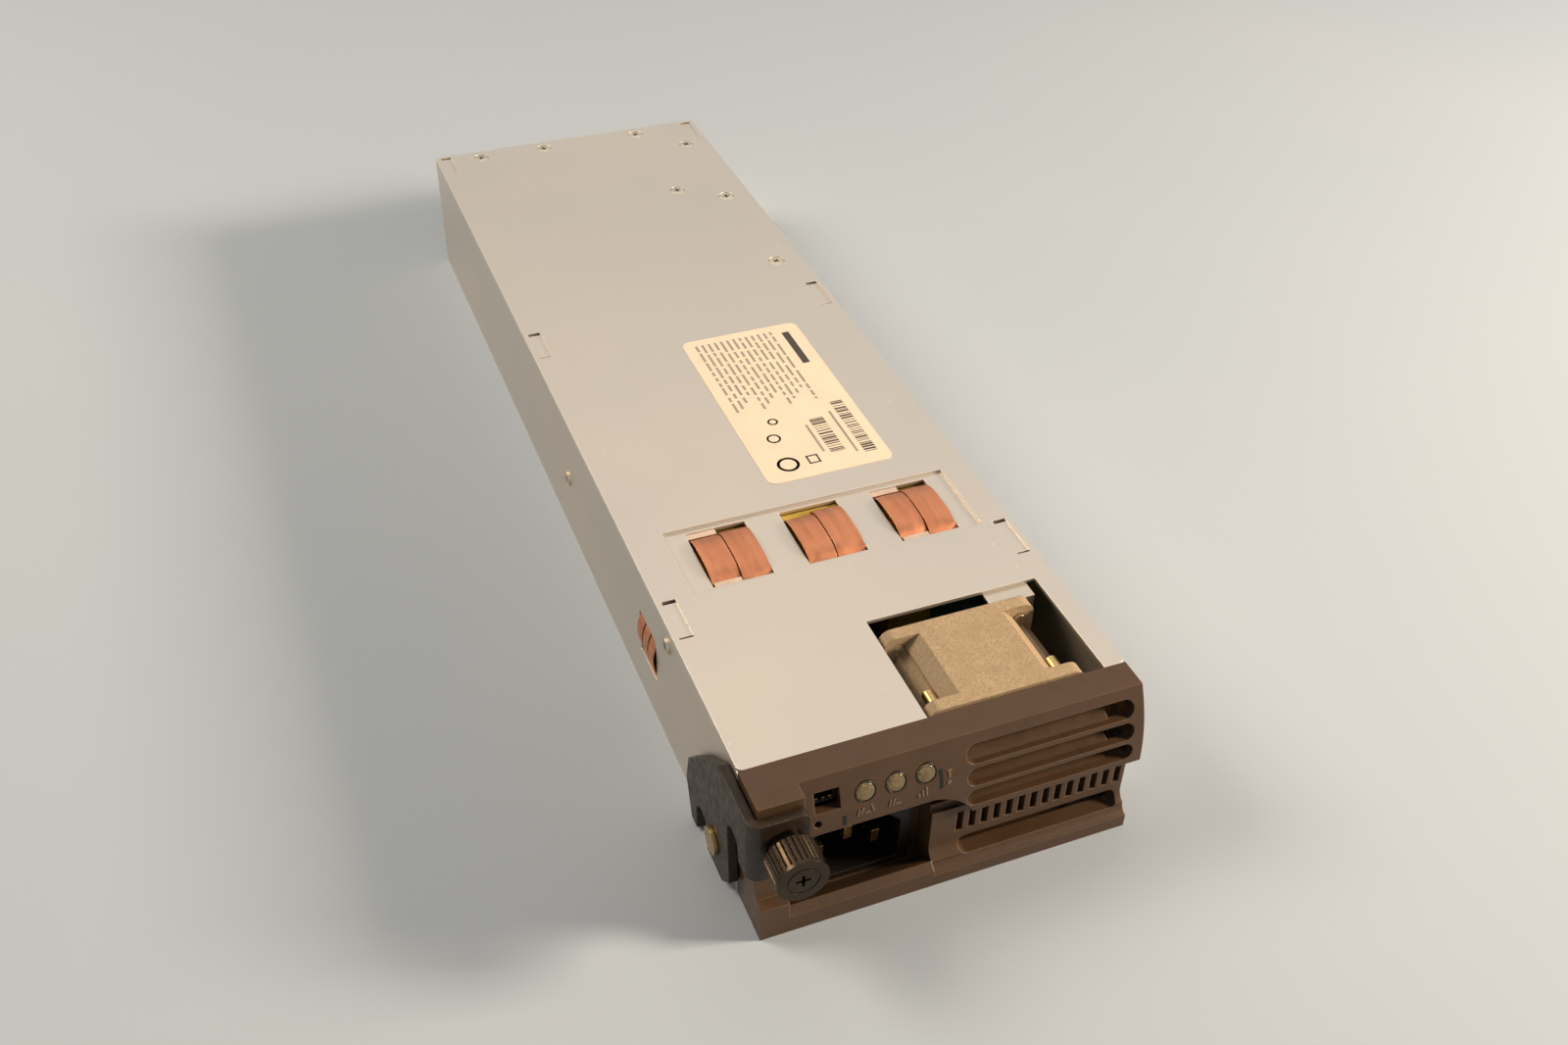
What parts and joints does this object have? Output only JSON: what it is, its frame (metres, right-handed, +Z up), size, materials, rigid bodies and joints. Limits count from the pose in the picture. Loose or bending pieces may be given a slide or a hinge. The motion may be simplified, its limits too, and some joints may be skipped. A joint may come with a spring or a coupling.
{
  "type": "hot swap server power supply",
  "caption": "One-unit-high hot-swap server power supply: sheet steel case with a moulded front, cooling fan, mains inlet, cam lever locked by a captive thumbscrew, and a rear plug-in connector.",
  "frame": {"origin": "middle of the case's underside", "axes": "+X to the right seen from the front, +Y from the bezel towards the rear connector, +Z up"},
  "size_m": [0.1007, 0.3366, 0.0419],
  "materials": {
    "galvanised": "satin zinc-coated sheet",
    "bezel": "satin moulded",
    "copper": "satin copper spring strip",
    "film": "clear amber film",
    "label": "printed paper film",
    "screw_steel": "plated",
    "lens": "clear moulded",
    "board": "solder mask",
    "white_plastic": "glossy moulded",
    "black_plastic": "moulded",
    "gilt": "gilt",
    "brass": "turned",
    "lever": "worn dark paint",
    "nickel": "bright nickel",
    "dark_nickel": "dark nickel",
    "fan": "dusty moulded",
    "rotor": "moulded",
    "magnet": "sintered",
    "aluminium": "mill",
    "can": "sleeved",
    "winding": "enamelled copper wire",
    "ferrite": "sintered",
    "yellow_plastic": "glossy moulded"
  },
  "bodies": {
    "case": {"base_chassis": "galvanised", "top_cover": "galvanised", "ground_clip_1": "copper", "ground_clip_2": "copper", "ground_clip_3": "copper", "ground_clip_left": "copper", "ground_clip_right": "copper", "insulator_sheet": "film", "rating_label": "label", "cover_screws": "screw_steel", "side_screws": "screw_steel", "front_bezel": "bezel", "indicator_lens_1": "lens", "indicator_lens_2": "lens", "indicator_lens_3": "lens", "indicator_board": "board", "indicator_lights": "white_plastic", "service_header": "white_plastic", "service_contacts": "gilt", "lock_insert": "brass", "inlet_housing": "black_plastic", "inlet_pins": "gilt", "pivot_rivet": "brass", "fan_frame": "fan", "fan_bearings": "brass", "fan_stator": "winding", "fan_screws": "brass", "fan_bracket": "galvanised", "fan_bracket_screw": "screw_steel", "main_board": "board", "board_standoffs": "brass", "board_screws": "screw_steel", "heatsink_left": "aluminium", "heatsink_right": "aluminium", "transistors_left": "black_plastic", "transistors_right": "black_plastic", "bulk_capacitor_1": "can", "bulk_capacitor_2": "can", "output_capacitors": "can", "choke_base": "white_plastic", "choke_winding": "winding", "transformer_core": "ferrite", "transformer_winding": "winding", "transformer_bobbin": "black_plastic", "filter_choke": "white_plastic", "film_capacitors": "yellow_plastic", "output_choke": "ferrite", "control_board": "board", "output_connector": "black_plastic", "output_contacts": "gilt"},
    "ejector": {"ejector_lever": "lever", "screw_ferrule": "nickel"},
    "screw_clip": {"retaining_ring": "screw_steel"},
    "thumbscrew": {"thumbscrew_knob": "dark_nickel", "thumbscrew_shank": "screw_steel"},
    "fan_rotor": {"fan_impeller": "rotor", "fan_magnet": "magnet", "fan_shaft": "screw_steel"}
  },
  "joints": [
    {"name": "lever_pivot", "type": "hinge", "parent": "case", "child": "ejector", "pos_m": [-0.0496, -0.1455, 0.01], "axis": [1, 0, 0], "range_deg": [0, 35]},
    {"name": "thumbscrew_travel", "type": "slide", "parent": "ejector", "child": "screw_clip", "axis": [0, 1, 0], "range_m": [0, 0.0025]},
    {"name": "thumbscrew_spin", "type": "hinge", "parent": "screw_clip", "child": "thumbscrew", "pos_m": [-0.0425, -0.172, 0.0308], "axis": [0, 1, 0], "continuous": true},
    {"name": "fan_spin", "type": "hinge", "parent": "case", "child": "fan_rotor", "pos_m": [0.0182, -0.14, 0.021], "axis": [0, 1, 0], "continuous": true}
  ]
}
